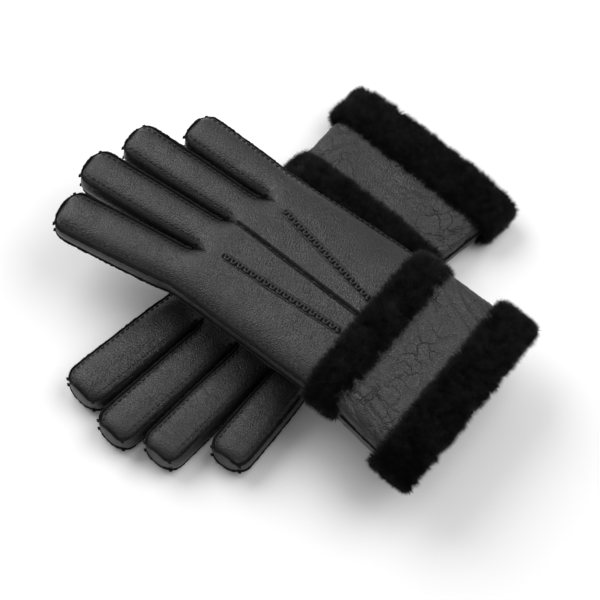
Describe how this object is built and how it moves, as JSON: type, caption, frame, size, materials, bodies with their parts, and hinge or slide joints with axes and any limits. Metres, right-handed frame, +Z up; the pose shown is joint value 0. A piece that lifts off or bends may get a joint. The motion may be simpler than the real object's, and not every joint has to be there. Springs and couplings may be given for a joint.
{
  "type": "leather gloves",
  "caption": "Pair of fur-trimmed shearling leather gloves lying crossed, backs up, with hinged fingers, thumbs and turn-up cuffs.",
  "frame": {"origin": "on the table under the middle of the left glove's palm", "axes": "+Z up; -Y is where the left glove's fingers point, and +X is its little-finger side; the right glove lies across it with its fingers towards -X"},
  "size_m": [0.2734, 0.2695, 0.0651],
  "materials": {
    "outer_leather": "black full-grain sheepskin, semi-gloss with fine grain and soft creases",
    "wool_lining": "black clipped wool pile",
    "fur_trim": "black dense sheep fur, matt",
    "seam_thread": "black waxed thread"
  },
  "bodies": {
    "left_hand": {"left_back_panel": "outer_leather", "left_palm_panel": "outer_leather", "left_hand_lining": "wool_lining", "left_centre_point": "outer_leather", "left_point_stitches": "seam_thread", "left_wrist_fur_band": "fur_trim"},
    "left_index_finger": {"left_index_back": "outer_leather", "left_index_palm": "outer_leather", "left_index_fourchettes": "outer_leather", "left_index_lining": "wool_lining"},
    "left_middle_finger": {"left_middle_back": "outer_leather", "left_middle_palm": "outer_leather", "left_middle_fourchettes": "outer_leather", "left_middle_lining": "wool_lining"},
    "left_ring_finger": {"left_ring_back": "outer_leather", "left_ring_palm": "outer_leather", "left_ring_fourchettes": "outer_leather", "left_ring_lining": "wool_lining"},
    "left_pinky_finger": {"left_pinky_back": "outer_leather", "left_pinky_palm": "outer_leather", "left_pinky_fourchettes": "outer_leather", "left_pinky_lining": "wool_lining"},
    "left_thumb": {"left_thumb_back": "outer_leather", "left_thumb_palm": "outer_leather", "left_thumb_lining": "wool_lining"},
    "left_cuff": {"left_cuff_back": "outer_leather", "left_cuff_palm": "outer_leather", "left_cuff_lining": "wool_lining", "left_cuff_fur_trim": "fur_trim"},
    "right_hand": {"right_back_panel": "outer_leather", "right_palm_panel": "outer_leather", "right_hand_lining": "wool_lining", "right_centre_point": "outer_leather", "right_point_stitches": "seam_thread", "right_wrist_fur_band": "fur_trim"},
    "right_index_finger": {"right_index_back": "outer_leather", "right_index_palm": "outer_leather", "right_index_fourchettes": "outer_leather", "right_index_lining": "wool_lining"},
    "right_middle_finger": {"right_middle_back": "outer_leather", "right_middle_palm": "outer_leather", "right_middle_fourchettes": "outer_leather", "right_middle_lining": "wool_lining"},
    "right_ring_finger": {"right_ring_back": "outer_leather", "right_ring_palm": "outer_leather", "right_ring_fourchettes": "outer_leather", "right_ring_lining": "wool_lining"},
    "right_pinky_finger": {"right_pinky_back": "outer_leather", "right_pinky_palm": "outer_leather", "right_pinky_fourchettes": "outer_leather", "right_pinky_lining": "wool_lining"},
    "right_thumb": {"right_thumb_back": "outer_leather", "right_thumb_palm": "outer_leather", "right_thumb_lining": "wool_lining"},
    "right_cuff": {"right_cuff_back": "outer_leather", "right_cuff_palm": "outer_leather", "right_cuff_lining": "wool_lining", "right_cuff_fur_trim": "fur_trim"}
  },
  "joints": [
    {"name": "left_index_knuckle", "type": "hinge", "parent": "left_hand", "child": "left_index_finger", "pos_m": [-0.033, -0.046, 0.0108], "axis": [0.9976, -0.0698, 0], "range_deg": [-15, 75]},
    {"name": "left_middle_knuckle", "type": "hinge", "parent": "left_hand", "child": "left_middle_finger", "pos_m": [-0.00655, -0.0475, 0.0108], "axis": [0.9998, -0.0175, 0], "range_deg": [-15, 75]},
    {"name": "left_ring_knuckle", "type": "hinge", "parent": "left_hand", "child": "left_ring_finger", "pos_m": [0.0184, -0.043, 0.0108], "axis": [0.9997, 0.0262, 0], "range_deg": [-15, 75]},
    {"name": "left_pinky_knuckle", "type": "hinge", "parent": "left_hand", "child": "left_pinky_finger", "pos_m": [0.04285, -0.035, 0.0108], "axis": [0.9945, 0.1045, 0], "range_deg": [-15, 75]},
    {"name": "left_thumb_pivot", "type": "hinge", "parent": "left_hand", "child": "left_thumb", "pos_m": [-0.048, 0.021, 0.006], "axis": [0, 0, -1], "range_deg": [0, 30]},
    {"name": "left_cuff_fold", "type": "hinge", "parent": "left_hand", "child": "left_cuff", "pos_m": [0, 0.076, 0.012], "axis": [1, 0, 0], "range_deg": [0, 40]},
    {"name": "right_index_knuckle", "type": "hinge", "parent": "right_hand", "child": "right_index_finger", "pos_m": [-0.0345, -0.04439, 0.0484], "axis": [0.2147, -0.9767, 0], "range_deg": [-15, 28]},
    {"name": "right_middle_knuckle", "type": "hinge", "parent": "right_hand", "child": "right_middle_finger", "pos_m": [-0.03871, -0.01824, 0.0484], "axis": [0.1461, -0.9893, 0], "range_deg": [-15, 28]},
    {"name": "right_ring_knuckle", "type": "hinge", "parent": "right_hand", "child": "right_ring_finger", "pos_m": [-0.0368, 0.00704, 0.0484], "axis": [0.0941, -0.9956, 0], "range_deg": [-15, 28]},
    {"name": "right_pinky_knuckle", "type": "hinge", "parent": "right_hand", "child": "right_pinky_finger", "pos_m": [-0.03135, 0.03219, 0.0484], "axis": [0.0506, -0.9987, 0], "range_deg": [-15, 28]},
    {"name": "right_thumb_pivot", "type": "hinge", "parent": "right_hand", "child": "right_thumb", "pos_m": [0.03105, -0.03661, 0.0313], "axis": [0, 0, 1], "range_deg": [0, 50]},
    {"name": "right_cuff_fold", "type": "hinge", "parent": "right_hand", "child": "right_cuff", "pos_m": [0.08346, 0.00097, 0.0496], "axis": [0.1028, -0.9947, 0], "range_deg": [-8, 36]},
    {"name": "right_glove_lift", "type": "slide", "parent": "left_hand", "child": "right_hand", "axis": [0, 0, 1], "range_m": [0, 0.12]}
  ]
}
